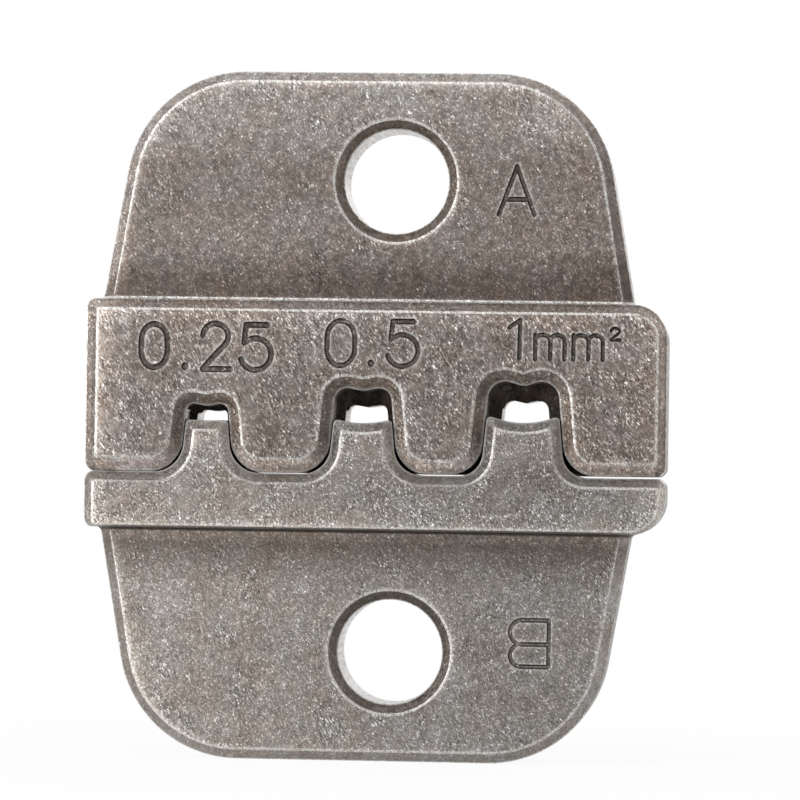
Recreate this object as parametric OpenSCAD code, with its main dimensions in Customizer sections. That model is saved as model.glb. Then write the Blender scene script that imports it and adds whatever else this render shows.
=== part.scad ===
// Crimp die for small wire terminals: two loose halves, shown closed on each other.
// The upper half has three nests in its bar, and the lower half three punches that enter them.
// Each nest is stepped: the front part folds the insulation grip of a terminal, and the
// narrower rear part folds its conductor grip. Both halves have a tang with a screw hole,
// which sits between the side plates of a crimping tool while the thicker bar bears on them.
// X runs along the bars, Y from front to back and Z up. The floor is at Z = 0.

/* [Crimp bars] */
// Width of both bars
bar_w = 25; // [24:0.5:32]
// Thickness of both bars, front to back
bar_t = 5.6; // [5.5:0.1:8]
// Depth of the front part of the nests and punches
front_t = 2.6; // [1.8:0.05:3]
// Height of the bar with the nests
nest_bar_h = 7.35; // [6.5:0.05:10]
// Height of the bar with the punches
punch_bar_h = 2.4; // [2.2:0.05:4]
// Radius of the three small corners of each bar
small_r = 0.4; // [0.3:0.05:0.6]
// Radius of the fourth corner of each bar, to the right beside the tang
large_r = 1.5; // [0.8:0.1:1.7]
// Chamfer round the bar with the nests
nest_chamfer = 0.52; // [0.3:0.02:0.56]
// Width of that chamfer along the edge beside the tang
nest_back_chamfer = 0.43; // [0.1:0.01:0.56]
// Chamfer round the bar with the punches
punch_chamfer = 0.42; // [0.3:0.02:0.44]
// Width of that chamfer along the edge beside the tang
punch_back_chamfer = 0.1; // [0.05:0.01:0.5]

/* [Tangs] */
// Width of a tang where it leaves the bar
tang_w = 22.9; // [19:0.05:23.2]
// Height of a tang beyond the bar
tang_h = 9.9; // [8:0.1:14]
// Thickness of a tang, front to back
tang_t = 4; // [3.2:0.1:4.1]
// Lean of the tang's two sides in degrees
tang_taper = 9.7; // [0:0.1:12]
// Radius of the tang's two corners
tang_r = 5.15; // [2:0.05:6]
// Sideways place of the tang's middle on the bar
tang_x = -0.42; // [-0.5:0.02:0.4]
// Chamfer round a tang
tang_chamfer = 0.45; // [0.2:0.05:0.8]
// Radius of the cove where a tang grows out of its bar
cove_r = 0.22; // [0.1:0.02:0.24]

/* [Screw hole] */
// Diameter of the hole, for an M4 screw
hole_d = 4.5; // [3.2:0.1:6]
// Sideways place of the hole on the bar
hole_x = 0.75; // [-2:0.05:2]
// Height of the hole's middle beyond the bar
hole_h = 5.2; // [4:0.1:6]
// Chamfer round the hole's rims
hole_chamfer = 0.42; // [0.1:0.02:0.8]

/* [Nests] */
// Sideways place of the middle nest on the bar
middle_x = -0.51; // [-1:0.01:0.5]
// Distance from the small nest to the middle one
small_pitch = 6.72; // [6.4:0.02:8]
// Distance from the middle nest to the large one
large_pitch = 6.88; // [6.6:0.02:8]
// Lean of the nest walls in degrees
draft = 5.5; // [2:0.5:7]
// Radius of the flared mouth of every nest
mouth_r = 1.4; // [1.35:0.05:1.6]
// Widths of the front part near its top: small, middle and large nest
front_w = [1.75, 2.32, 2.87]; // [1.7:0.01:3.1]
// Heights of the front part's two lobes
front_lobe = [2.86, 3.62, 3.98]; // [2.7:0.02:4.2]
// How far the front part's top dips between its lobes
front_dip = [0.11, 0.12, 0.22]; // [0.04:0.01:0.24]
// Radii of the front part's top corners
front_r = [0.36, 0.52, 0.74]; // [0.25:0.01:0.76]
// Widths of the rear part near its top
rear_w = [1.25, 1.73, 1.9]; // [1.2:0.01:2.1]
// Heights of the rear part's two lobes
rear_lobe = [2.65, 2.94, 3.22]; // [2.5:0.01:3.3]
// How far the rear part's top dips between its lobes
rear_dip = [0.05, 0.09, 0.11]; // [0.04:0.01:0.16]
// Radii of the rear part's top corners
rear_r = [0.22, 0.3, 0.42]; // [0.2:0.01:0.5]
// Radius of the rounded dip in every nest
dip_r = 0.72; // [0.65:0.01:0.9]

/* [Punches] */
// Heights of the punches at their tips: small, middle and large
punch_h = [2.26, 2.38, 2.62]; // [2:0.01:2.65]
// Radii at the feet of the punches
foot_r = [1.3, 1.2, 1.04]; // [1:0.01:1.34]
// Hollow in the top of the punches' front part
front_hollow = [0.03, 0.17, 0.3]; // [0.02:0.01:0.32]
// Hollow in the top of the punches' rear part
rear_hollow = [0.02, 0.06, 0.09]; // [0.02:0.01:0.12]
// How much lower the rear part of the punches stands than their front part
rear_drop = [0.05, 0.15, 0.25]; // [0.02:0.01:0.3]
// Radius of the punch tips
tip_r = 0.18; // [0.1:0.01:0.22]
// Gap on each side between a punch and its nest
side_gap = 0.05; // [0.04:0.01:0.06]
// Gap between the two bars when the die is closed
close_gap = 0.08; // [0.06:0.01:0.2]

/* [Hidden] */
// Steel as it comes from the furnace, a little warmer on the upper half
punch_steel = [0.44, 0.43, 0.41];
nest_steel = [0.42, 0.40, 0.37];
// Height of the lower bar's mating face, and of the upper bar's
punch_face = tang_h + punch_bar_h;
nest_face = punch_face + close_gap;
nest_x = [middle_x - small_pitch, middle_x, middle_x + large_pitch];
rear_t = bar_t - front_t;
// How far a tang's root runs into its bar, before the nests or the mating face
tang_root = punch_bar_h / 2;
// How far the flats of a rounded corner may stray from its arc
arc_slack = 0.003;
// Least radius that is left where a chamfer is wider than its corner
least_r = 0.06;
// How far a cutter stands out of what it cuts
over = 0.05;
// Share of a punch's half width, less its tip, that its hollow's round bottom takes
hollow_share = 0.8;

// An outline is drawn with the mating face along y = 0 and the tang above it.
// It is a path of sharp corners, [x, y, radius], that runs anticlockwise. A fourth value
// is the share of an inset that the side after that corner takes, where it isn't all of it.

function unit(v) = v / norm(v);
function left_of(v) = [-v.y, v.x];
function place(corner) = [corner.x, corner.y];
function share(corner) = is_undef(corner[3]) ? 1 : corner[3];
function bend_of(a, b) = atan2(a.x * b.y - a.y * b.x, a * b);
function turned(v, angle) = [v.x * cos(angle) - v.y * sin(angle), v.x * sin(angle) + v.y * cos(angle)];

// Corner i of a path after its sides have moved inward by inset, as [x, y, radius, bend].
// Outer corners lose that much radius, inner ones gain it.
function moved(path, i, inset) =
    let (
        n = len(path),
        last = path[(i + n - 1) % n],
        here = path[(i + n) % n],
        a = unit(place(here) - place(last)),
        b = unit(place(path[(i + 1) % n]) - place(here)),
        inset_a = inset * share(last),
        inset_b = inset * share(here),
        bend = bend_of(a, b),
        r = max(here[2] - sign(bend) * (inset_a + inset_b) / 2, least_r),
        along = cos(bend),
        shift_a = (inset_a - along * inset_b) / (1 - along * along),
        shift_b = (inset_b - along * inset_a) / (1 - along * along),
        at = place(here) + shift_a * left_of(a) + shift_b * left_of(b)
    )
    [at.x, at.y, r, bend];

// How far a moved corner's arc runs along its sides
function reach(corner) = corner[2] * tan(abs(corner[3]) / 2);

// How much of the side between two moved corners the second one's arc leaves free
function room(corner, other) = norm(place(corner) - place(other)) - reach(other);

// Corner i of a moved path as an arc of flats. A hollow between two outer corners keeps
// to the room that their arcs leave.
function rounded(path, i, inset) =
    let (
        here = moved(path, i, inset),
        last = moved(path, i - 1, inset),
        next = moved(path, i + 1, inset),
        bend = here[3],
        side = sign(bend),
        half_bend = tan(abs(bend) / 2),
        most_r = min(room(here, last), room(here, next)) / half_bend,
        in_hollow = side < 0 && last[3] > 0 && next[3] > 0,
        r = in_hollow ? min(here[2], most_r) : here[2],
        steps = ceil(abs(bend) / (2 * acos(1 - arc_slack / path[i][2]))),
        a = unit(place(here) - place(last)),
        centre = place(here) + r * (side * left_of(a) - half_bend * a)
    )
    [for (k = [0:steps]) centre - side * r * turned(left_of(a), bend * k / steps)];

function outline(path, inset = 0) = [for (i = [0:len(path) - 1]) each rounded(path, i, inset)];

// One nest from its left foot to its right: drafted walls and a top of two lobes and a dip
function nest_corners(x, w, lobe, dip, r) =
    let (
        slope = dip / (w / 2 - r),
        top = lobe + r * (slope + sqrt(1 + slope * slope) - 1),
        foot = w / 2 + top * tan(draft)
    )
    [
        [x - foot, 0, mouth_r],
        [x - w / 2, top, r],
        [x, top - slope * w / 2, dip_r],
        [x + w / 2, top, r],
        [x + foot, 0, mouth_r]
    ];

// One punch from its left foot to its right. Its walls lie inside those of the nest
// that it enters by side_gap, and its top is hollowed to curl the terminal's wings.
function punch_corners(x, nest, h, hollow, foot_radius) =
    let (
        foot = nest[4].x - nest[2].x + close_gap * tan(draft) - side_gap,
        tip = foot - h * tan(draft),
        arc = hollow_share * (tip - tip_r),
        low = hollow / (1 - arc / tip / 2)
    )
    [
        [x - foot, 0, foot_radius],
        [x - tip, -h, tip_r],
        [x, low - h, arc * tip / low],
        [x + tip, -h, tip_r],
        [x + foot, 0, foot_radius]
    ];

function front_nest(i) = nest_corners(nest_x[i], front_w[i], front_lobe[i], front_dip[i], front_r[i]);
function rear_nest(i) = nest_corners(nest_x[i], rear_w[i], rear_lobe[i], rear_dip[i], rear_r[i]);
function front_punch(i) = punch_corners(nest_x[i], front_nest(i), punch_h[i], front_hollow[i], foot_r[i]);
function rear_punch(i) =
    punch_corners(nest_x[i], rear_nest(i), punch_h[i] - rear_drop[i], rear_hollow[i], foot_r[i]);

function bar_path(h, mating, back_share) = concat(
    [[-bar_w / 2, 0, small_r]],
    mating,
    [[bar_w / 2, 0, small_r], [bar_w / 2, h, large_r, back_share], [-bar_w / 2, h, small_r]]
);

function tang_path(bar_h) =
    let (
        root_w = tang_w / 2 + tang_root * tan(tang_taper),
        end_w = tang_w / 2 - tang_h * tan(tang_taper)
    )
    [
        [tang_x - root_w, bar_h - tang_root, small_r],
        [tang_x + root_w, bar_h - tang_root, small_r],
        [tang_x + end_w, bar_h + tang_h, tang_r],
        [tang_x - end_w, bar_h + tang_h, tang_r]
    ];

// The tang's section at height h above its bar, with sides that lean in and chamfered corners
function tang_section(h) =
    let (
        x = tang_w / 2 - h * tan(tang_taper),
        y = tang_t / 2,
        c = tang_chamfer
    )
    [
        for (p = [[c - x, -y], [x - c, -y], [x, c - y], [x, y - c],
            [x - c, y], [c - x, y], [-x, y - c], [-x, c - y]])
            [tang_x + p.x, p.y, least_r]
    ];

// The section of a cove, as [inset, height]: it turns from the bar's face to the tang's
// on an arc, and its other three sides are sunk in them
function cove_section() = concat(
    [[over, -over], [-cove_r, -over]],
    [for (k = [0:5]) let (angle = 18 * k) [-cove_r + cove_r * sin(angle), cove_r - cove_r * cos(angle)]],
    [[over, cove_r]]
);

// A solid hoop: loops of equally many points, each one height, joined in turn and to the first
module hoop(loops) {
    n = len(loops[0]);
    points = [for (loop = loops) each loop];
    faces = [
        for (side = [0:len(loops) - 1], i = [0:n - 1])
            let (next = (side + 1) % len(loops), j = (i + 1) % n)
            [side * n + i, next * n + i, next * n + j, side * n + j]
    ];
    polyhedron(points, faces, convexity = 10);
}

function loop_at(path, inset, z) = [for (p = outline(path, inset)) [p.x, p.y, z]];

// The hoop that cuts a chamfer round the top edge of a path's slab, whose top is at z = 0.
// Its section is a triangle that stands out of the slab above and beside the edge.
module edge_cutter(path, chamfer) {
    section = [[chamfer + over, over], [-over, -chamfer - over], [-over, over]];
    hoop([for (corner = section) loop_at(path, corner.x, corner.y)]);
}

// The cove round a tang's root, standing on the bar at z = 0
module cove() {
    hoop([for (corner = cove_section()) loop_at(tang_section(corner.y), corner.x, corner.y)]);
}

// A slab of a path from z = 0 up, with its top edges chamfered
module slab(path, thickness, chamfer) {
    difference() {
        linear_extrude(thickness, convexity = 10) polygon(outline(path));
        translate([0, 0, thickness]) edge_cutter(path, chamfer);
    }
}

// The bar in two slabs, back to back where the front and rear parts of the nests meet
module bar(bar_h, front, rear, chamfer, back_chamfer) {
    split = bar_t / 2 - front_t;
    back_share = back_chamfer / chamfer;
    translate([0, 0, split])
        slab(bar_path(bar_h, front, back_share), front_t, chamfer);
    translate([0, 0, split]) mirror([0, 0, 1])
        slab(bar_path(bar_h, rear, back_share), rear_t, chamfer);
}

module tang(bar_h) {
    slab(tang_path(bar_h), tang_t / 2, tang_chamfer);
    mirror([0, 0, 1]) slab(tang_path(bar_h), tang_t / 2, tang_chamfer);
    translate([0, bar_h, 0]) rotate([-90, 0, 0]) cove();
}

module screw_hole(bar_h) {
    rim = tang_t / 2 - hole_chamfer;
    translate([hole_x, bar_h + hole_h, 0]) {
        cylinder(d = hole_d, h = tang_t + 2, center = true, $fn = 96);
        for (turn = [0, 180])
            rotate([turn, 0, 0]) translate([0, 0, rim])
                cylinder(r1 = hole_d / 2, r2 = hole_d / 2 + hole_chamfer + over,
                    h = hole_chamfer + over, $fn = 96);
    }
}

// One die half, lying on its back with its front face up
module die_half(bar_h, front, rear, chamfer, back_chamfer) {
    difference() {
        union() {
            bar(bar_h, front, rear, chamfer, back_chamfer);
            tang(bar_h);
        }
        screw_hole(bar_h);
    }
}

module nest_die() {
    color(nest_steel)
        translate([0, 0, nest_face]) rotate([90, 0, 0])
            die_half(nest_bar_h, [for (i = [0:2]) each front_nest(i)],
                [for (i = [0:2]) each rear_nest(i)], nest_chamfer, nest_back_chamfer);
}

module punch_die() {
    color(punch_steel)
        translate([0, 0, punch_face]) rotate([90, 0, 0]) mirror([0, 1, 0])
            die_half(punch_bar_h, [for (i = [0:2]) each front_punch(i)],
                [for (i = [0:2]) each rear_punch(i)], punch_chamfer, punch_back_chamfer);
}

punch_die();
nest_die();
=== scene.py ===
import math
from functools import partial

import bmesh
import bpy
import numpy as np
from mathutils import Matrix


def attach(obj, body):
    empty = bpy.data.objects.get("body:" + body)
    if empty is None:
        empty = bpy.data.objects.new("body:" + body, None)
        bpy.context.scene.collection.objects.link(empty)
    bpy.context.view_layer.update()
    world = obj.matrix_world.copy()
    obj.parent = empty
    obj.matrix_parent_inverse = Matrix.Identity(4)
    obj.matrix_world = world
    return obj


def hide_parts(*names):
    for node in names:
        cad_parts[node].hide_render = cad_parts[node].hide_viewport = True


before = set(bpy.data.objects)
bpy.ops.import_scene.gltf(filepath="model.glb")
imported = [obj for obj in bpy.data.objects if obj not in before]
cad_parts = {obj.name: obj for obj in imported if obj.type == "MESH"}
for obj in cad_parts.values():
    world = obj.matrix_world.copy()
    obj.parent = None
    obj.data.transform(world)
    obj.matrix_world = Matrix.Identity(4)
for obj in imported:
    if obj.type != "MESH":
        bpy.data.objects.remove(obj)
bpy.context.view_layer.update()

# Upper half: the nest die
# One piece of sintered steel: powder pressed in a die, fired, and tumbled until its edges
# are slightly round. Its marks were pressed in with it, as shallow grooves with a flat floor.

MM = 0.001                # a millimetre in metres. The sizes and places below are in mm
bar_face = -2.8           # Y of the bar's front face
tang_face = -2.0          # Y of the tang's front face
bar_end = 12.5            # X of the bar's right end
upper_root = 19.73        # height where the tang leaves the bar
upper_hole = 24.93        # height of the screw hole's middle
hole_x = 0.75             # X of the same
profile_middle = 14.8     # height of the middle of the nests and punches
rounding_width = 0.065    # of the tumbled edges

groove_floor = 0.037      # half width of a groove's flat floor
groove_rim = 0.125        # half width of a groove at the face
groove_depth = 0.11       # how deep the floor lies
mark_step = 0.025         # spacing of the grid that a mark's relief is worked out on
cutter_front = 0.3        # how far a cutter stands out of the face
cutter_clear = 0.02       # how far its back is clear of the face beside a groove
cutter_slope = 0.015      # how far past the rim its back reaches that

# Material slots of a half: pressed faces, rounded edges, chamfers of the hole and nests, drawn
# walls of the hole, nests and punches, walls outside, and the inside of the nests' front part
PRESSED, ROUNDED, CHAMFER, DRAWN, SIDE, INSIDE = range(6)
# Material slots of the cutters that press the marks
MARK_WALL, MARK_FLOOR, MARK_RIM = range(3)


def arc(x, z, rx, rz, start, end):
    """Points on an ellipse about (x, z): (x + rx cos a, z + rz sin a) for angles a in degrees."""
    a = np.radians(np.linspace(start, end, max(3, int(abs(end - start) / 8))))
    return np.stack([x + rx * np.cos(a), z + rz * np.sin(a)], -1)


def stroke(*parts):
    """One stroke through all points of its parts, in their order."""
    return np.vstack(parts)


# Each mark is a few strokes in units of its own height, from its lower left corner
strokes = {
    "0": [stroke(
        arc(0.315, 0.62, 0.315, 0.38, 0, 180), arc(0.315, 0.38, 0.315, 0.38, 180, 360), [[0.63, 0.62]],
    )],
    "1": [stroke([[0, 0.8], [0.28, 1], [0.265, 0]])],
    "2": [stroke(
        arc(0.275, 0.727, 0.278, 0.273, 178, -32), [[0.43, 0.48], [0.265, 0.31], [0, 0], [0.61, 0]],
    )],
    "5": [stroke([[0.586, 1], [0.116, 1], [0.074, 0.6]], arc(0.335, 0.352, 0.345, 0.352, 132, -160))],
    ".": [stroke([[0, 0], [0.001, 0]])],
    "m": [
        stroke([[0, 0.6], [0, 0]]),
        stroke(arc(0.184, 0.46, 0.184, 0.135, 180, 0), [[0.368, 0]]),
        stroke(arc(0.543, 0.46, 0.175, 0.135, 180, 0), [[0.718, 0]]),
    ],
    "A": [stroke([[0, 0], [0.366, 1], [0.738, 0]]), stroke([[0.13, 0.314], [0.615, 0.314]])],
    "B": [
        stroke([[0, 0]], arc(0.575, 0.26, 0.26, 0.26, -90, 90), [[0, 0.52]]),
        stroke([[0, 0.52]], arc(0.585, 0.76, 0.245, 0.24, -90, 90), [[0, 1], [0, 0]]),
    ],
}


def groove_distance(points, marks):
    """Distance from each point to the nearest stroke, less by what a mark's grooves are wider.
    A point's distance to a segment is its distance to the nearest place on it."""
    nearest = np.full(len(points), 9.0)
    for glyph, x, z, width, height, wider in marks:
        for path in strokes[glyph]:
            path = path * (width, height) + (x, z)
            start, along = path[:-1], np.diff(path, axis=0)
            rel = points[:, None] - start
            t = np.clip((rel * along).sum(-1) / np.maximum((along ** 2).sum(-1), 1e-9), 0, 1)
            gap = np.linalg.norm(rel - t[..., None] * along, axis=-1).min(1)
            nearest = np.minimum(nearest, gap - wider)
    return nearest


def mark_cutter(name, marks, low, high, face_y):
    """A block in front of the face, between the corners low and high. Its back is the relief of
    the marks: the depth behind the face falls from groove_depth over the floor to cutter_clear in
    front of the face past the rim, along a smooth step of the distance to the nearest stroke."""
    nx, nz = (np.ceil((np.array(high) - low) / mark_step)).astype(int) + 1
    across, up = np.linspace(low[0], high[0], nx), np.linspace(low[1], high[1], nz)
    x, z = np.meshgrid(across, up, indexing="ij")
    d = groove_distance(np.stack([x.ravel(), z.ravel()], -1), marks)
    t = np.clip((d - groove_floor) / (groove_rim + cutter_slope - groove_floor), 0, 1)
    depth = groove_depth - (groove_depth + cutter_clear) * t * t * (3 - 2 * t)
    back = np.stack([x.ravel(), face_y + depth, z.ravel()], -1)
    front = np.stack([x.ravel(), np.full(x.size, face_y - cutter_front), z.ravel()], -1)
    i = np.arange(nx * nz).reshape(nx, nz)
    quads = np.stack([i[:-1, :-1], i[:-1, 1:], i[1:, 1:], i[1:, :-1]], -1).reshape(-1, 4)
    rim = np.concatenate([i[:-1, 0], i[-1, :-1], i[:0:-1, -1], i[0, :0:-1]])
    after = np.roll(rim, -1)
    sides = np.stack([rim, after, after + nx * nz, rim + nx * nz], -1)
    faces = np.vstack([quads, quads[:, ::-1] + nx * nz, sides])
    mesh = bpy.data.meshes.new(name)
    mesh.from_pydata(np.vstack([back, front]) * MM, [], faces.tolist())
    # A rim is the upper part of a wall that looks left, to the light, and gets a painted highlight
    corners = depth[quads]
    looks_left = corners[:, :2].mean(1) > corners[:, 2:].mean(1) + 0.2 * mark_step
    is_rim = looks_left & (corners.mean(1) < 0.6 * groove_depth)
    is_floor = (corners > 0.8 * groove_depth).all(1)
    part = np.where(is_floor, MARK_FLOOR, np.where(is_rim, MARK_RIM, MARK_WALL))
    part = np.append(part, np.full(len(faces) - len(quads), MARK_WALL))
    mesh.polygons.foreach_set("material_index", part)
    cutter = bpy.data.objects.new(name, mesh)
    bpy.context.scene.collection.objects.link(cutter)
    return cutter


def rows(elements, key):
    """A row of three numbers for each vertex or face, such as the co of all vertices."""
    values = np.empty(3 * len(elements))
    elements.foreach_get(key, values)
    return values.reshape(-1, 3)


def shift_edges(mesh, nest):
    """The faces of the bars reach face_more further at the right end, in full from 1 mm past
    face_end, so the chamfers there are narrower. The nests' half sinks at its lowest edge, where
    the halves touch: by foot_slope times the distance from its right end, in full foot_height
    below foot_top."""
    on_face, face_end, face_more = 2.75, 11, 0.12
    foot_top, foot_height, foot_slope = 12.95, 0.57, 0.003
    x, y, z = rows(mesh.vertices, "co").T / MM
    at_end = (abs(y) > on_face) & (x > face_end)
    x += np.where(at_end, face_more * np.minimum(1, x - face_end), 0)
    if nest:
        z -= foot_slope * (bar_end - x) * np.clip((foot_top - z) / foot_height, 0, 1)
    mesh.vertices.foreach_set("co", np.stack([x, y, z], -1).ravel() * MM)


def slots_of(mesh, hole_z, nest):
    """Each face's material slot, by where its middle is and by how far it looks to front or back:
    less than wall on walls, and less than chamfer on chamfers. A chamfer counts as one only at
    the hole and the nests. The inside is the nests' front part with the step behind it, but not
    the wall that looks right in the left nest."""
    wall, chamfer = 0.2, 0.95
    hole_wall, hole_rim = 2.5, 2.9
    profile_end, profile_low, profile_high = 11.5, 12, 16.6
    step_y, mouth_z, left_nest = -0.2, 12.6, -6
    x, y, z = rows(mesh.polygons, "center").T / MM
    looks = rows(mesh.polygons, "normal")
    facing = abs(looks[:, 1])
    from_hole = np.hypot(x - hole_x, z - hole_z)
    by_profile = (abs(x) < profile_end) & (z > profile_low) & (z < profile_high)
    in_front = nest & (y < step_y) & (z > mouth_z)
    shining = (x < left_nest) & (looks[:, 0] > 0.7)
    wall_slot = np.where(in_front & ~shining, INSIDE, DRAWN)
    wall_slot = np.where(by_profile, wall_slot, np.where(from_hole < hole_wall, DRAWN, SIDE))
    chamfer_slot = np.where((from_hole < hole_rim) | nest & by_profile, CHAMFER, PRESSED)
    face_slot = np.where(nest & (abs(y) < 1), INSIDE, PRESSED)
    return np.select([facing < wall, facing < chamfer], [wall_slot, chamfer_slot], face_slot)


def weigh_edges(bm, root_z):
    """Marks the edges that tumbling rounds: those that turn outwards by over 30 degrees, but not
    at the root of the tang, which keeps its cove, nor at the steps inside the nests and punches."""
    least_turn = math.radians(30)
    cove_height, cove_depth = 0.45, 2.35
    step_depth, step_low, step_high = 1, 12.6, 17
    weight = bm.edges.layers.float.new("bevel_weight_edge")
    for edge in bm.edges:
        middle = (edge.verts[0].co + edge.verts[1].co) / 2 / MM
        at_root = abs(middle.z - root_z) < cove_height and abs(middle.y) < cove_depth
        at_step = abs(middle.y) < step_depth and step_low < middle.z < step_high
        turns_out = len(edge.link_faces) == 2 and edge.is_convex
        if turns_out and edge.calc_face_angle() > least_turn and not at_root and not at_step:
            edge[weight] = 1


def finished_half(name, node, root_z, hole_z, cutters, nest=False):
    """A merged copy of the CAD solid with its slots, its marks cut and its edges rounded. root_z
    and hole_z say how high its tang's root and its hole are, and nest that it has the nests."""
    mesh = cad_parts[node].data.copy()
    mesh.name = name
    mesh.materials.clear()
    bm = bmesh.new()
    bm.from_mesh(mesh)
    bmesh.ops.remove_doubles(bm, verts=bm.verts, dist=1e-7)
    bmesh.ops.dissolve_limit(bm, angle_limit=math.radians(0.4), verts=bm.verts, edges=bm.edges)
    weigh_edges(bm, root_z)
    bm.to_mesh(mesh)
    mesh.polygons.foreach_set("material_index", slots_of(mesh, hole_z, nest))
    shift_edges(mesh, nest)
    bm.clear()
    bm.from_mesh(mesh)
    # The steps between front and rear parts have slots cut out of them, so they are cut in triangles
    facing = [face for face in bm.faces if abs(face.normal.y) > 0.95]
    steps = [face for face in facing if abs(face.calc_center_median().y) < MM]
    bmesh.ops.triangulate(bm, faces=steps)
    bm.to_mesh(mesh)
    bm.free()
    half = bpy.data.objects.new(name, mesh)
    bpy.context.scene.collection.objects.link(half)
    rounding = half.modifiers.new("tumbled edges", "BEVEL")
    rounding.width = rounding_width * MM
    rounding.segments = 3
    rounding.limit_method = "WEIGHT"
    rounding.use_clamp_overlap = False
    rounding.material = ROUNDED
    for cutter in cutters:
        cut = half.modifiers.new("marks", "BOOLEAN")
        cut.object = cutter
        cut.operation = "DIFFERENCE"
        cut.solver = "EXACT"
        cut.material_mode = "TRANSFER"
    half.modifiers.new("flat faces stay flat", "WEIGHTED_NORMAL").keep_sharp = True
    return half


def settle(half, finishes, mark_finishes, cutters, chamfer_shading):
    """Turns a finished half's modifiers into plain mesh and drops the cutters. Each face gets a
    tone, a painted shading factor, 1 on the flat faces. On a chamfer it is the mean of the painted
    light and shade levels that chamfer_shading gives for left, right, up and down, weighted by the
    squares of how far the face looks those ways. Each entry holds for one slot, from one height to
    another."""
    mesh = half.data
    for finish in finishes:
        mesh.materials.append(finish)
    for cutter in cutters:
        for finish in mark_finishes:
            cutter.data.materials.append(finish)
    mesh.shade_smooth()
    mesh.set_sharp_from_angle(angle=math.radians(38))
    done = bpy.data.meshes.new_from_object(half.evaluated_get(bpy.context.evaluated_depsgraph_get()))
    half.modifiers.clear()
    half.data = done
    z = rows(done.polygons, "center")[:, 2] / MM
    looks = rows(done.polygons, "normal")
    ways = np.stack([-looks[:, 0], looks[:, 0], looks[:, 2], -looks[:, 2]], -1)
    ways = np.maximum(ways, 0) ** 2
    ways /= np.maximum(ways.sum(1), 1e-9)[:, None]
    facing = abs(looks[:, 1])
    tone, slots = np.ones(len(z)), np.empty(len(z), int)
    done.polygons.foreach_get("material_index", slots)
    for slot, low, high, tones in chamfer_shading:
        on_chamfer = (slots == slot) & (z > low) & (z < high) & (facing > 0.3) & (facing < 0.9)
        tone = np.where(on_chamfer, ways @ tones, tone)
    # The tone attribute holds the chamfers' painted light and shade
    done.attributes.new("tone", "FLOAT", "FACE").data.foreach_set("value", tone)
    for cutter in cutters:
        bpy.data.meshes.remove(cutter.data)


# Marks: glyph, x and z of its lower left corner, width and height of a unit, and how much wider
# its grooves are. The small 2 is the square of square millimetres
wire_sizes = [
    ("0", -10.05, 16.77, 1.79, 1.86, 0.024), (".", -8.15, 16.835, 1.9, 1.9, 0.06),
    ("2", -7.385, 16.73, 1.96, 1.95, 0.024), ("5", -5.755, 16.715, 1.93, 1.93, 0.024),
    ("0", -2.05, 16.954, 1.9, 1.914, 0.012), (".", -0.136, 17.07, 1.9, 1.9, 0.05),
    ("5", 0.555, 16.95, 1.92, 1.92, 0.012), ("1", 5.77, 17.36, 1.62, 1.64, -0.006),
    ("m", 6.88, 17.34, 1.74, 1.74, -0.006), ("m", 8.51, 17.34, 1.74, 1.74, -0.006),
    ("2", 10.1, 18.2, 0.68, 0.5, -0.035),
]
letter_a = [("A", 5.2, 23.55, 2.06, 2.06, 0)]
upper_cutters = [
    mark_cutter("wire_sizes", wire_sizes, (-10.4, 16.4), (10.9, 19.3), bar_face),
    mark_cutter("letter_a", letter_a, (4.9, 23.2), (7.0, 25.9), tang_face),
]
upper = finished_half("upper_half", "nest_die", upper_root, upper_hole, upper_cutters, nest=True)


def add_node(tree, kind, *sources, **values):
    """A new node. Values set its inputs and properties by name. Sources go into its inputs in
    their order: a number or a tuple as it is, and another node's output by a link."""
    node = tree.nodes.new("ShaderNode" + kind)
    for key, value in values.items():
        if key in node.inputs:
            node.inputs[key].default_value = value
        else:
            setattr(node, key, value)
    for socket, source in zip([i for i in node.inputs if i.enabled], sources):
        if isinstance(source, (tuple, int, float)):
            socket.default_value = source
        else:
            tree.links.new(source, socket)
    return node


def add_levels(tree, source, stops):
    """A colour for each value of source: stops give a value and a grey level or a colour, and
    between two stops the colour changes evenly."""
    node = add_node(tree, "ValToRGB", source)
    ramp = node.color_ramp
    while len(ramp.elements) < len(stops):
        ramp.elements.new(0.5)
    for element, (position, value) in zip(ramp.elements, stops):
        element.position = position
        element.color = (*value, 1) if isinstance(value, tuple) else (value, value, value, 1)
    return node.outputs["Color"]


def add_span(tree, source, low, high, to_low, to_high):
    """to_low where source is low, to_high where it is high, evenly between, and level beyond."""
    ends = {"From Min": low, "From Max": high, "To Min": to_low, "To Max": to_high}
    return add_node(tree, "MapRange", source, **ends).outputs["Result"]


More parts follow.
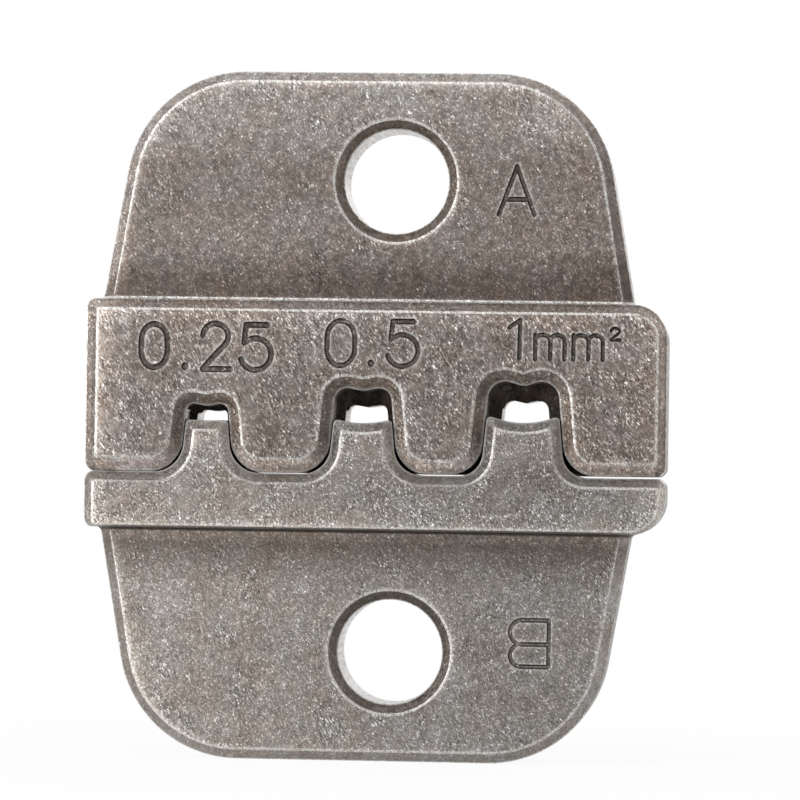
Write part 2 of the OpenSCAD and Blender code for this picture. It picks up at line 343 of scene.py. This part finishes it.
def sintered_steel(name, tone, wear_and_highlight_share=0.0, root=None, low=None, painted_light_and_shade=(), light=(-0.75, 0, 0.66),
                   quiet=(), dull=(), spots=(), scars=(), fine=1.0, grip=0.15):
    """Pressed and sintered steel. Its colour is tone times the tints of broad patches, times a
    random level for each grain and each fine scratch, where the brightest grains are painted glints,
    times what the lists below give. Edges are lighter by wear and by painted highlight: the less of
    the piece lies within grip mm of a point, the more of bright.
    wear_and_highlight_share: the share of bright, as wear and painted highlight, where the piece is flat
    root: heights on the tang, at the bar, where the patina and painted shade are still dark and where
    they have ended, and the cove's levels of painted light and shade over the first 0.6 mm from the bar
    low: another tone, the height where it holds and the height where tone holds again
    painted_light_and_shade: broad painted light and shade: an axis, a place on it where nothing
    changes, and a place further on, from where the steel is so many times lighter, or darker below 1
    light: the way that the painted highlight margins of the faces look, where the painted light comes from
    quiet: rectangles (x, z, x, z) without painted highlight margins, such as those of the marks
    dull: rectangles where edges get hardly any of the wear and painted highlight
    spots: lighter round places, by x and z of the middle, their reach and how many times lighter
    scars: bright scratches from (x, z) to (x, z), and how bright they are
    fine: less than 1 gives smaller grains and weaker blots"""
    m = bpy.data.materials.new(name)
    m.use_nodes = True
    tree = m.node_tree
    link = tree.links.new
    steel = tree.nodes["Principled BSDF"]
    steel.inputs["Metallic"].default_value = 0.5
    add = partial(add_node, tree)
    levels = partial(add_levels, tree)
    span = partial(add_span, tree)

    def math_of(operation, first, second=0.0):
        """An operation on two numbers, or on the first alone."""
        return add("Math", first, second, operation=operation).outputs[0]

    def product(*factors):
        """All factors times each other."""
        result = factors[0]
        for factor in factors[1:]:
            result = math_of("MULTIPLY", result, factor)
        return result

    def size_of(value):
        """The value without its sign."""
        return math_of("ABSOLUTE", value)

    def away_from(value, middle):
        """How far value is from middle, on either side."""
        return size_of(math_of("SUBTRACT", value, middle))

    def without(share):
        """What share leaves of 1."""
        return math_of("SUBTRACT", 1.0, share)

    def vector(operation, first, second):
        """An operation on two vectors, or on a vector and a number to scale it by."""
        node = add("VectorMath", first, second, operation=operation)
        return node.outputs["Value" if operation == "DOT_PRODUCT" else "Vector"]

    def blended(share, first, second):
        """first where share is 0, second where it is 1, and evenly between."""
        ends = [(*end, 1) if isinstance(end, tuple) else end for end in (first, second)]
        return add("Mix", share, *ends, data_type="RGBA").outputs[2]

    def times_layer(colour, layer, share):
        """colour where share is 0, and colour times layer where it is 1."""
        return vector("MULTIPLY", colour, blended(share, (1, 1, 1), layer))

    def beyond(x0, z0, x1, z1):
        """How far a place is outside a rectangle, along the axis where it is further."""
        aside = math_of("SUBTRACT", away_from(x_mm, (x0 + x1) / 2), (x1 - x0) / 2)
        above = math_of("SUBTRACT", away_from(z_mm, (z0 + z1) / 2), (z1 - z0) / 2)
        return math_of("MAXIMUM", aside, above)

    def turned(angle, size):
        """Places for a texture whose unit is size times fine, turned by angle about Y."""
        size = tuple(fine * s for s in size)
        places = add("Mapping", swayed, vector_type="TEXTURE", Rotation=(0, angle, 0), Scale=size)
        return places.outputs[0]

    def grains(angle, size):
        """A random colour for each cell of size."""
        return add("TexVoronoi", turned(angle, size), Scale=1, feature="F1").outputs["Color"]

    at = add("TexCoord")
    mm = add("Mapping", at.outputs["Object"], Scale=(1000, 1000, 1000)).outputs[0]
    place = add("SeparateXYZ", mm)
    x_mm, z_mm = place.outputs["X"], place.outputs["Z"]
    depth = size_of(place.outputs["Y"])
    sway = add("TexNoise", mm, Scale=6, Detail=2).outputs["Color"]
    sway = vector("SCALE", vector("SUBTRACT", sway, (0.5, 0.5, 0.5)), 0.15)
    swayed = vector("ADD", mm, sway)

    # Patches: broad tints from brown over olive to a cool grey, and smaller lighter and darker blots
    broad = add("TexNoise", mm, Scale=0.5, Detail=5, Roughness=0.62).outputs["Fac"]
    tint = levels(broad, [
        (0.36, (0.84, 0.765, 0.71)), (0.46, (1.0, 0.95, 0.895)),
        (0.54, (0.965, 0.955, 0.925)), (0.66, (1.1, 1.085, 1.105)),
    ])
    blot = add("TexNoise", mm, Scale=2.6, Detail=4, Roughness=0.75).outputs["Fac"]
    mottle = 2 * fine - 1
    blots = levels(blot, [(0.3, 1 - 0.4 * mottle), (0.5, 1.0), (0.7, 1 + 0.45 * mottle)])

    # Grains: cells a twentieth of a millimetre wide, each with its own level, gloss and tilt. On
    # the bars most are drawn out to dashes that run down to the right, as the powder was struck off.
    side = add("TexNoise", mm, Scale=0.8, Detail=2).outputs["Fac"]
    side = math_of("ADD", side, span(depth, 2.05, 2.25, -0.08, 0.08))
    drawn = span(side, 0.46, 0.54, 0, 1)
    cells = blended(drawn, grains(0.4, (0.052, 0.052, 0.065)), grains(-0.55, (0.037, 0.09, 0.095)))
    parts = add("SeparateColor", cells)
    # The brightest cells are painted glints, up to four times lighter than the steel
    grain_and_glints = levels(parts.outputs[0], [
        (0, (0.18, 0.168, 0.155)), (0.2, (0.65, 0.635, 0.61)), (0.68, 1.0),
        (0.84, (1.29, 1.32, 1.35)), (0.94, (2.25, 2.43, 2.58)), (1, (3.8, 4.2, 4.55)),
    ])

    # Scratches: noise stretched down to the right
    along = turned(-0.6, (0.05, 0.17, 0.19))
    scratch = add("TexNoise", along, Scale=1, Detail=2, Roughness=0.7).outputs["Fac"]
    scratched = levels(scratch, [
        (0.3, (0.36, 0.345, 0.325)), (0.45, 0.82), (0.56, 1.0),
        (0.64, (1.9, 2.05, 2.18)), (0.74, (3.5, 3.87, 4.15)),
    ])

    # Painted highlight: the faces rise to a lighter margin along the edges that look to the light
    looks = add("SeparateXYZ", at.outputs["Normal"])
    looks_along = size_of(looks.outputs["Y"])
    facing = span(looks_along, 0.8, 0.98, 0, 1)
    edged = facing
    if root:
        bar, dark, clear, cove = root
        from_bar = away_from(z_mm, bar)
        on_tang = span(depth, 2.3, 2.5, 1, 0)
        off_cove = math_of("MAXIMUM", span(from_bar, 0.4, 0.7, 0, 1), without(on_tang))
        edged = product(edged, off_cove)
    for rectangle in quiet:
        edged = product(edged, span(beyond(*rectangle), 0, 0.1, 0, 1))
    wide = add("Bevel", samples=4, Radius=0.9 * MM).outputs[0]
    close = add("Bevel", samples=4, Radius=0.35 * MM).outputs[0]
    lean = vector("DOT_PRODUCT", close, light)
    near = math_of("MAXIMUM", span(lean, 0.03, 0.28, 0.0, 0.9), span(lean, -0.03, -0.28, 0.0, 0.35))
    margin_highlight = math_of("ADD", span(vector("DOT_PRODUCT", wide, light), 0.0, 0.28, 0.0, 0.45), near)
    margin_highlight = product(margin_highlight, edged)
    # The painted light and shade of each chamfer, as settle gave it
    painted_face_shading = add("Attribute", attribute_name="tone").outputs["Fac"]
    gain = product(math_of("ADD", margin_highlight, 1.0), painted_face_shading)
    base = blended(span(z_mm, low[1], low[2], 0, 1), low[0], tone) if low else tone
    colour = vector("SCALE", base, gain)
    for x, z, reach, times in spots:
        aside = vector("SUBTRACT", vector("MULTIPLY", mm, (1, 0, 1)), (x, 0, z))
        aside = add("VectorMath", aside, operation="LENGTH").outputs["Value"]
        colour = times_layer(colour, (times, times, times), span(aside, reach, 0.3 * reach, 0, 1))
    # Painted light and shade: the steel made lighter or darker along an axis
    for axis, start, end, times in painted_light_and_shade:
        times = times if isinstance(times, tuple) else (times, times, times)
        colour = times_layer(colour, times, span(place.outputs[axis], start, end, 0, 1))
    # Grains and scratches show less on the chamfers and where the grains are round
    rough_share = math_of("ADD", product(facing, 0.45), 0.55)
    rough_share = product(rough_share, span(drawn, 0, 1, 0.66, 1))
    for layer in (grain_and_glints, scratched):
        colour = times_layer(colour, layer, rough_share)
    for layer in (tint, blots):
        colour = vector("MULTIPLY", colour, layer)

    # Painted shade and dark patina on the tang's root under the bar, darkest in the corner with the bar,
    # and a painted line of light and shade along the cove
    if root:
        ragged = math_of("ADD", z_mm, span(blot, 0.3, 0.7, -0.35, 0.35))
        root_shade_and_patina = product(span(ragged, dark, clear, 1, 0), on_tang)
        colour = times_layer(colour, (0.5, 0.46, 0.43), root_shade_and_patina)
        colour = times_layer(colour, levels(span(from_bar, 0, 0.6, 0, 1), cove), on_tang)

    # Edges lighter by wear and by painted highlight, and on the upper half a painted highlight
    # line on the bar's edge where the tang leaves it
    solid = add("AmbientOcclusion", samples=6, only_local=True, inside=True, Distance=grip * MM)
    beside = product(span(size_of(lean), 0.17, 0.25, 0, 0.5), edged)
    wear_and_highlight = math_of("MAXIMUM", span(solid.outputs["AO"], 0.97, 0.7, wear_and_highlight_share, 0.9), beside)
    if root and dark > bar:
        rim = span(away_from(z_mm, bar + 0.05), 0.085, 0.045, 0, 1)
        wear_and_highlight = math_of("MAXIMUM", wear_and_highlight, rim)
    wear_and_highlight = product(wear_and_highlight, span(scratch, 0.4, 0.54, 0.35, 1), span(parts.outputs[0], 0.1, 0.6, 0.4, 1))

    # On the nests and punches the chamfers' outer edges get painted highlight lines, and all edges
    # get painted shade on the sides that look right, away from the light
    near_profile = span(away_from(z_mm, profile_middle), 2.7, 2.5, 0, 1)
    near_profile = product(span(size_of(x_mm), 11.3, 11.0, 0, 1), near_profile)
    soft = add("SeparateXYZ", close)
    turned_away = math_of("SUBTRACT", looks_along, size_of(soft.outputs["Y"]))
    on_chamfer = product(span(looks_along, 0.5, 0.6, 0, 1), span(looks_along, 0.85, 0.78, 0, 1))
    outer = product(span(turned_away, 0.17, 0.27, 0, 0.85), on_chamfer)
    if wear_and_highlight_share:
        outer = math_of("MAXIMUM", outer, span(looks_along, 0.62, 0.52, 0, 0.85))
    outer = product(outer, near_profile if any(light) else 0.0)
    rightward = math_of("MAXIMUM", looks.outputs["X"], soft.outputs["X"])
    shaded = product(near_profile, span(rightward, 0.1, 0.3, 0, 0.65), span(looks_along, 0.6, 0.72, 0, 1))
    wear_and_highlight = product(wear_and_highlight, without(shaded))
    wear_and_highlight = math_of("MAXIMUM", wear_and_highlight, product(outer, span(rightward, 0.1, 0.3, 1, 0.8)))
    for rectangle in dull:
        wear_and_highlight = product(wear_and_highlight, span(beyond(*rectangle), 0, 0.5, 0.3, 1))

    # A scar fades out over a tenth of its length at either end
    for x0, z0, x1, z1, strength in scars:
        length = math.hypot(x1 - x0, z1 - z0)
        way = ((x1 - x0) / length, 0, (z1 - z0) / length)
        from_end = vector("SUBTRACT", mm, (x0, 0, z0))
        from_middle = away_from(vector("DOT_PRODUCT", from_end, way), length / 2)
        aside = size_of(vector("DOT_PRODUCT", from_end, (-way[2], 0, way[0])))
        faded = span(from_middle, length / 2, 0.4 * length, 0, 1)
        scar = product(span(aside, 0.045, 0.02, 0, strength), faded)
        colour = times_layer(colour, (2.6, 2.6, 2.6), scar)

    # Painted highlight: the lighter edges are brightest where they look to the light or down, and on the
    # outer edges
    to_light = vector("DOT_PRODUCT", at.outputs["Normal"], light)
    downward = span(looks.outputs["Z"], -0.15, -0.5, 0, 0.9)
    highlight_level = math_of("MAXIMUM", span(to_light, -0.35, 0.6, 0.6, 1), downward)
    highlight_level = math_of("MAXIMUM", highlight_level, outer)
    bright = vector("SCALE", (1.0, 0.98, 0.95), highlight_level)
    link(blended(wear_and_highlight, colour, bright), steel.inputs["Base Color"])
    link(span(parts.outputs[1], 0, 1, 0.3, 0.5), steel.inputs["Roughness"])

    # Each grain is tilted its own way, and the scratches are in relief
    tilt = vector("SCALE", vector("SUBTRACT", cells, (0.5, 0.5, 0.5)), 0.5)
    tilted = vector("ADD", add("NewGeometry").outputs["Normal"], tilt)
    tilted = add("VectorMath", tilted, operation="NORMALIZE").outputs[0]
    bump = add("Bump", Strength=0.7, Distance=0.03 * MM)
    link(scratch, bump.inputs["Height"])
    link(tilted, bump.inputs["Normal"])
    link(bump.outputs[0], steel.inputs["Normal"])
    return m


def drawn_steel(name, tone, rough):
    """Steel that slid along the wall of the press tool: smooth, with fine lines along Y. A line
    is 0.6 of tone, and rough gives the roughness in a line and beside it."""
    m = bpy.data.materials.new(name)
    m.use_nodes = True
    tree = m.node_tree
    link = tree.links.new
    steel = tree.nodes["Principled BSDF"]
    steel.inputs["Metallic"].default_value = 0.9
    at = add_node(tree, "TexCoord").outputs["Object"]
    stretched = add_node(tree, "Mapping", at, Scale=(9000, 400, 9000)).outputs[0]
    lines = add_node(tree, "TexNoise", stretched, Scale=1, Detail=3).outputs["Fac"]
    shade = add_levels(tree, lines, [(0.3, tuple(0.6 * v for v in tone)), (0.65, tone)])
    link(shade, steel.inputs["Base Color"])
    link(add_span(tree, lines, 0.3, 0.7, *rough), steel.inputs["Roughness"])
    bump = add_node(tree, "Bump", Strength=0.3, Distance=0.01 * MM)
    link(lines, bump.inputs["Height"])
    link(bump.outputs[0], steel.inputs["Normal"])
    return m


def marked_steel(half, walls, floors, rims):
    """The finishes of a half's marks: walls painted dark as shade, lighter floors, and rims painted light
    as a highlight where they look to the light.
    """
    tones = {"walls": walls, "floors": floors, "rims": rims}
    return [
        sintered_steel(f"{half}_mark_{part}", tone, light=(0, 0, 0), grip=0.01)
        for part, tone in tones.items()
    ]


warm_steel = (0.209, 0.1805, 0.1645)
upper_painted_light_and_shade = [
    ("X", 2, 9, (1.0, 0.975, 0.955)), ("Z", 25.6, 29.6, (1.66, 1.79, 1.88)),
    ("X", -10.4, -11.6, 1.56), ("X", -12.15, -12.42, 2.1), ("X", 11.2, 12.2, 1.3),
    ("Z", 18.4, 19.15, 1.4), ("Z", 19.15, 19.25, 0.68),
]
upper_spots = [
    (-6.5, 19.5, 4.5, 1.17), (11.5, 17.5, 3.0, 1.13), (8.0, 27.8, 2.5, 1.18), (-10.3, 26.5, 2.0, 1.14),
]
upper_scars = [(10.7, 18.25, 11.34, 17.74, 0.5), (3.28, 12.6, 3.56, 13.17, 0.9)]
upper_quiet = [(-10.4, 16.5, 3.3, 19.2), (3.3, 17.2, 11.0, 19.2), (5.0, 23.3, 7.0, 25.85)]
upper_root_shade_and_patina = (upper_root, 20.6, 22.3, [(0, 1.0), (0.2, 1.2), (0.5, 1)])
upper_finishes = [
    sintered_steel("nest_steel", warm_steel, root=upper_root_shade_and_patina, painted_light_and_shade=upper_painted_light_and_shade, quiet=upper_quiet,
                   spots=upper_spots, scars=upper_scars),
    sintered_steel("nest_steel_edges", warm_steel, wear_and_highlight_share=0.75, painted_light_and_shade=upper_painted_light_and_shade),
    # Hole and nest chamfers: dark patina and painted shade; lower down a lighter tone as painted light
    sintered_steel("nest_steel_patina_and_shade", (0.13, 0.107, 0.091), low=((0.345, 0.3, 0.275), 12.85, 13.9),
                   scars=upper_scars, grip=0.06),
    drawn_steel("nest_steel_walls", (0.45, 0.425, 0.4), (0.3, 0.18)),
    drawn_steel("nest_steel_sides", (0.27, 0.245, 0.225), (0.5, 0.36)),
    # The nests' inside: a little darker as painted shade, without painted highlight margins or rim lines
    sintered_steel("nest_steel_inside", (0.18, 0.152, 0.133), light=(0, 0, 0), grip=0.02),
]
upper_mark_finishes = marked_steel("nest", (0.05, 0.039, 0.032), (0.105, 0.087, 0.074), (0.55, 0.51, 0.48))
# Painted light and shade of the chamfers: slot, heights, and how light they look left, right, up and down
upper_chamfer_shading = [
    (PRESSED, 12, 20.3, (0.5, 0.8, 1.18, 0.96)), (PRESSED, 20.3, 30, (1.0, 0.58, 1.0, 1.0)),
    (CHAMFER, 12, 18, (1.6, 0.86, 1.0, 1.45)), (CHAMFER, 18, 30, (1.0, 1.0, 1.1, 1.0)),
]
settle(upper, upper_finishes, upper_mark_finishes, upper_cutters, upper_chamfer_shading)
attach(upper, "upper half")
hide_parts("nest_die")

# Lower half: the punch die
# One piece of the same sintered steel, a little greyer, pressed and tumbled in the same way.
# Its letter stands on its head, because both halves were marked with the tang upwards.

lower_root = 9.9          # height where the tang leaves the bar
lower_hole = 4.7          # height of the screw hole's middle
letter_b = [("B", 7.6, 6.18, -1.99, -1.99, -0.01)]
lower_cutters = [mark_cutter("letter_b", letter_b, (5.6, 3.8), (7.95, 6.55), tang_face)]
lower = finished_half("lower_half", "punch_die", lower_root, lower_hole, lower_cutters)

grey_steel = (0.19, 0.1765, 0.1665)
lower_painted_light_and_shade = [
    ("X", 6, -12.5, (1.42, 1.38, 1.355)), ("X", -11.2, -12.2, 1.2), ("X", 10.8, 12.2, 1.35),
    ("Z", 12.3, 10, 1.35), ("Z", 9.9, 9.2, 0.87), ("Z", 3.5, 0, 1.08), ("Z", 12.0, 13.3, 1.3),
    ("X", 8.5, 11.5, 1.15), ("X", 12.1, 12.2, 1.35),
]
lower_spots = [(-9.9, 3.8, 2.4, 1.15)]
lower_light = (-0.75, 0, -0.3)
lower_quiet = [(5.7, 3.9, 7.9, 6.5), (-11.4, 11.4, -8.4, 12.3)]
lower_dull = [(-11.2, 11.4, -8.6, 12.0), (-5.5, 11.4, -2.7, 12.0), (1.7, 11.4, 4.0, 12.0)]
lower_root_shade_and_patina = (lower_root, 9.3, 7.4, [(0, 0.36), (0.15, 0.36), (0.25, 1.7), (0.45, 1.5), (1, 1)])
lower_finishes = [
    sintered_steel("punch_steel", grey_steel, root=lower_root_shade_and_patina, painted_light_and_shade=lower_painted_light_and_shade, light=lower_light,
                   quiet=lower_quiet, dull=lower_dull, spots=lower_spots, fine=0.82),
    sintered_steel("punch_steel_edges", grey_steel, wear_and_highlight_share=0.75, painted_light_and_shade=lower_painted_light_and_shade, light=lower_light,
                   dull=lower_dull, fine=0.82),
    # Hole chamfer: dark patina and painted shade
    sintered_steel("punch_steel_patina_and_shade", (0.118, 0.1, 0.088), grip=0.06),
    drawn_steel("punch_steel_walls", (0.45, 0.43, 0.41), (0.3, 0.18)),
    drawn_steel("punch_steel_sides", (0.27, 0.25, 0.235), (0.5, 0.36)),
]
lower_mark_finishes = marked_steel("punch", (0.1, 0.087, 0.077), (0.18, 0.162, 0.148), (0.7, 0.66, 0.63))
# Painted light and shade of the chamfers, as above
lower_chamfer_shading = [
    (PRESSED, 9.6, 15.5, (0.57, 0.97, 0.66, 1.0)), (PRESSED, 0, 9.6, (0.7, 1.17, 1.0, 1.0)),
]
settle(lower, lower_finishes, lower_mark_finishes, lower_cutters, lower_chamfer_shading)
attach(lower, "lower half")
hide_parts("punch_die")

# Stage: floor, light and camera
# A white floor and white surroundings, as in a product picture, lit by broad soft lamps.

floor_mesh = bpy.data.meshes.new("floor")
floor_mesh.from_pydata([(-1, -1, 0), (1, -1, 0), (1, 1, 0), (-1, 1, 0)], [], [(0, 1, 2, 3)])
floor = bpy.data.objects.new("floor", floor_mesh)
bpy.context.scene.collection.objects.link(floor)


def white_for_eyes(tree, lit, plain, output, most=None):
    """What the camera, a reflection or a see-through part shows: plain white over the lit
    surface, by the share given in most. Every other ray gets the lit surface."""
    seen = add_node(tree, "LightPath").outputs
    share = seen["Is Camera Ray"]
    for ray in ("Is Glossy Ray", "Is Transmission Ray"):
        share = add_node(tree, "Math", share, seen[ray], operation="MAXIMUM").outputs[0]
    if most:
        share = add_node(tree, "Math", share, most, operation="MULTIPLY").outputs[0]
    blend = add_node(tree, "MixShader", share, lit.outputs[0], plain.outputs[0])
    tree.links.new(blend.outputs[0], output.inputs["Surface"])


white = bpy.data.materials.new("white_floor")
white.use_nodes = True
tree = white.node_tree
paint = tree.nodes["Principled BSDF"]
paint.inputs["Base Color"].default_value = (0.85, 0.85, 0.85, 1)
paint.inputs["Roughness"].default_value = 0.9
glow = add_node(tree, "Emission", Strength=1.0)
# The shadow shows near the object, and fades out with distance
from_object = add_node(tree, "TexCoord").outputs["Object"]
far = add_node(tree, "VectorMath", from_object, operation="LENGTH").outputs["Value"]
fade = add_span(tree, far, 12 * MM, 50 * MM, 0.93, 1)
white_for_eyes(tree, paint, glow, tree.nodes["Material Output"], fade)
floor_mesh.materials.append(white)

world = bpy.data.worlds.new("surroundings")
bpy.context.scene.world = world
world.use_nodes = True
tree = world.node_tree
room = tree.nodes["Background"]
room.inputs["Color"].default_value = (1, 1, 1, 1)
room.inputs["Strength"].default_value = 0.4
plain = add_node(tree, "Background", Color=(1, 1, 1, 1), Strength=1.0)
white_for_eyes(tree, room, plain, tree.nodes["World Output"])


def lamp(name, place, target, width, power):
    """A square soft lamp at place, which shines at target. It shines along its own -Z, so it is
    tipped by the angle between Z and the way back from target, and then turned about Z."""
    data = bpy.data.lights.new(name, "AREA")
    data.shape = "SQUARE"
    data.size = width * MM
    data.energy = power
    lit = bpy.data.objects.new(name, data)
    bpy.context.scene.collection.objects.link(lit)
    away = np.array(place, float) - np.array(target, float)
    tipped = math.atan2(math.hypot(away[0], away[1]), away[2])
    lit.location = np.array(place) * MM
    lit.rotation_euler = (tipped, 0, math.atan2(away[0], -away[1]))


lamp("left", (-110, -50, 45), (0, 0, 15), 60, 0.052)
lamp("right", (120, -50, 30), (0, 0, 15), 60, 0.028)
lamp("top", (-10, -60, 140), (0, 0, 20), 60, 0.045)
lamp("front", (-50, -55, 24), (0, 0, 16), 25, 0.014)
lamp("back", (60, 110, 75), (0, 0, 15), 80, 0.05)

# A long lens 0.2 m away, a little to the right
eye = bpy.data.cameras.new("camera")
eye.sensor_width = 36
eye.lens = 207
eye.clip_start, eye.clip_end = 0.01, 10
camera = bpy.data.objects.new("camera", eye)
bpy.context.scene.collection.objects.link(camera)
camera.location = (16.286 * MM, -198.78 * MM, 12.072 * MM)
camera.rotation_euler = tuple(math.radians(a) for a in (91.003, -0.888, 4.41))
bpy.context.scene.camera = camera
bpy.context.scene.view_settings.view_transform = "Standard"
